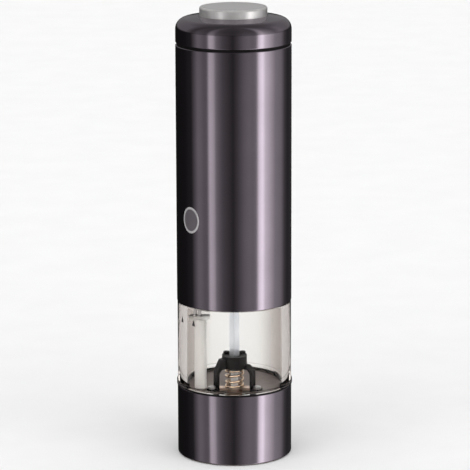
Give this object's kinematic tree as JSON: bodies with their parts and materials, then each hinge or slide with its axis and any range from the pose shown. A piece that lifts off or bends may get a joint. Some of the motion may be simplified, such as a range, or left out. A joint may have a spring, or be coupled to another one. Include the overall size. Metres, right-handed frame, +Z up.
{
  "type": "electric pepper mill",
  "caption": "Upright battery-electric pepper mill with a push button on top, a dark metal body, a clear peppercorn container and an adjustable ceramic burr in the base.",
  "frame": {"origin": "centre of the foot ring's underside", "axes": "+Z up along the mill's axis; -Y is the front, +X to the right seen from the front"},
  "size_m": [0.0578, 0.0578, 0.2252],
  "materials": {
    "dark_metal": "satin dark plum metallic",
    "black_plastic": "matt black",
    "smoke_plastic": "smoke brown semi-gloss",
    "clear_acrylic": "clear",
    "white_light_pipe": "translucent white",
    "print_black": "printed",
    "badge_print": "satin",
    "ceramic": "fired, unglazed",
    "shaft_steel": "drawn",
    "screw_steel": "plated",
    "spring_steel": "drawn",
    "blade_steel": "bronzed",
    "brass": "turned",
    "gear_plastic": "natural moulded",
    "copper": "lacquered windings",
    "wire_red": "insulated",
    "cell_jacket": "printed sleeve",
    "board_green": "coated",
    "seal_rubber": "matt",
    "button_rim": "polished",
    "button_satin": "satin"
  },
  "bodies": {
    "base": {"base_sleeve": "dark_metal", "base_housing": "smoke_plastic", "bottom_plate": "black_plastic", "base_screws": "screw_steel", "seat_ring": "black_plastic", "container": "clear_acrylic", "twist_marks": "print_black", "bridge": "black_plastic", "burr_ring": "ceramic", "lamp_tube": "white_light_pipe", "tube_bracket": "white_light_pipe", "lamp_wires": "wire_red", "lamp_led": "white_light_pipe", "lamp_lens": "white_light_pipe", "contact_pads": "screw_steel"},
    "spindle": {"spindle": "shaft_steel", "drive_socket": "black_plastic", "mill_spring": "spring_steel"},
    "rotor": {"burr_rotor": "ceramic", "feed_blade": "blade_steel"},
    "knob": {"adjust_knob": "black_plastic"},
    "neck_seal": {"neck_seal": "seal_rubber"},
    "power_unit": {"body_sleeve": "dark_metal", "inner_tube": "black_plastic", "lower_chassis": "black_plastic", "badge": "badge_print", "output_bush": "brass", "gear_housing": "gear_plastic", "gearbox_screws": "screw_steel", "motor_plate": "screw_steel", "motor_can": "screw_steel", "motor_end_cap": "gear_plastic", "power_wires": "wire_red", "contact_pins": "screw_steel", "battery_holder": "black_plastic", "battery_cells": "cell_jacket", "cell_contacts": "screw_steel"},
    "output_drive": {"output_carrier": "shaft_steel", "drive_shaft": "shaft_steel"},
    "high_drive": {"high_carrier": "shaft_steel", "sun_gear": "shaft_steel"},
    "low_planet_1": {"low_planet_1": "gear_plastic"},
    "low_planet_2": {"low_planet_2": "gear_plastic"},
    "low_planet_3": {"low_planet_3": "gear_plastic"},
    "high_planet_1": {"high_planet_1": "gear_plastic"},
    "high_planet_2": {"high_planet_2": "gear_plastic"},
    "high_planet_3": {"high_planet_3": "gear_plastic"},
    "motor_rotor": {"motor_shaft": "shaft_steel", "armature": "copper", "pinion": "brass"},
    "cap": {"cap_shell": "dark_metal", "cap_liner": "black_plastic", "cap_contacts": "screw_steel", "switch_board": "board_green", "switch": "black_plastic"},
    "button": {"button_ring": "button_rim", "button_disc": "button_satin", "button_core": "black_plastic", "button_spring": "spring_steel"}
  },
  "joints": [
    {"name": "spindle_spin", "type": "hinge", "parent": "base", "child": "spindle", "pos_m": [0, 0, 0.03], "axis": [0, 0, 1], "continuous": true},
    {"name": "rotor_lift", "type": "slide", "parent": "spindle", "child": "rotor", "axis": [0, 0, 1], "range_m": [-0.00052, 0.00052], "deforming": ["mill_spring"]},
    {"name": "knob_turn", "type": "hinge", "parent": "rotor", "child": "knob", "pos_m": [0, 0, 0.005], "axis": [0, 0, 1], "range_deg": [-270, 270]},
    {"name": "housing_twist", "type": "hinge", "parent": "base", "child": "neck_seal", "pos_m": [0, 0, 0.0847], "axis": [0, 0, 1], "range_deg": [0, 20]},
    {"name": "housing_lift", "type": "slide", "parent": "neck_seal", "child": "power_unit", "axis": [0, 0, 1], "range_m": [0, 0.095]},
    {"name": "drive_spin", "type": "hinge", "parent": "power_unit", "child": "output_drive", "pos_m": [0, 0, 0.09], "axis": [0, 0, 1], "continuous": true},
    {"name": "high_carrier_spin", "type": "hinge", "parent": "power_unit", "child": "high_drive", "pos_m": [0, 0, 0.105], "axis": [0, 0, 1], "continuous": true},
    {"name": "motor_spin", "type": "hinge", "parent": "power_unit", "child": "motor_rotor", "pos_m": [0, 0, 0.13], "axis": [0, 0, 1], "continuous": true},
    {"name": "cap_lift", "type": "slide", "parent": "power_unit", "child": "cap", "axis": [0, 0, 1], "range_m": [0, 0.04]},
    {"name": "button_press", "type": "slide", "parent": "cap", "child": "button", "axis": [0, 0, -1], "range_m": [0, 0.0015], "stiffness_N_per_m": 500, "springref_m": -0.0025, "deforming": ["button_spring"]},
    {"name": "low_planet_1_spin", "type": "hinge", "parent": "output_drive", "child": "low_planet_1", "pos_m": [0.009, 0, 0.1], "axis": [0, 0, 1], "continuous": true},
    {"name": "low_planet_2_spin", "type": "hinge", "parent": "output_drive", "child": "low_planet_2", "pos_m": [-0.0045, 0.00779, 0.1], "axis": [0, 0, 1], "continuous": true},
    {"name": "low_planet_3_spin", "type": "hinge", "parent": "output_drive", "child": "low_planet_3", "pos_m": [-0.0045, -0.00779, 0.1], "axis": [0, 0, 1], "continuous": true},
    {"name": "high_planet_1_spin", "type": "hinge", "parent": "high_drive", "child": "high_planet_1", "pos_m": [0.009, 0, 0.109], "axis": [0, 0, 1], "continuous": true},
    {"name": "high_planet_2_spin", "type": "hinge", "parent": "high_drive", "child": "high_planet_2", "pos_m": [-0.0045, 0.00779, 0.109], "axis": [0, 0, 1], "continuous": true},
    {"name": "high_planet_3_spin", "type": "hinge", "parent": "high_drive", "child": "high_planet_3", "pos_m": [-0.0045, -0.00779, 0.109], "axis": [0, 0, 1], "continuous": true}
  ],
  "couplings": [
    {"joint": "high_carrier_spin", "follows": "drive_spin", "ratio": 5},
    {"joint": "motor_spin", "follows": "drive_spin", "ratio": 25},
    {"joint": "spindle_spin", "follows": "drive_spin", "ratio": 1},
    {"joint": "knob_turn", "follows": "rotor_lift", "rad_per_m": 8976},
    {"joint": "low_planet_1_spin", "follows": "drive_spin", "ratio": -2.6667},
    {"joint": "low_planet_2_spin", "follows": "drive_spin", "ratio": -2.6667},
    {"joint": "low_planet_3_spin", "follows": "drive_spin", "ratio": -2.6667},
    {"joint": "high_planet_1_spin", "follows": "drive_spin", "ratio": -13.333},
    {"joint": "high_planet_2_spin", "follows": "drive_spin", "ratio": -13.333},
    {"joint": "high_planet_3_spin", "follows": "drive_spin", "ratio": -13.333}
  ]
}
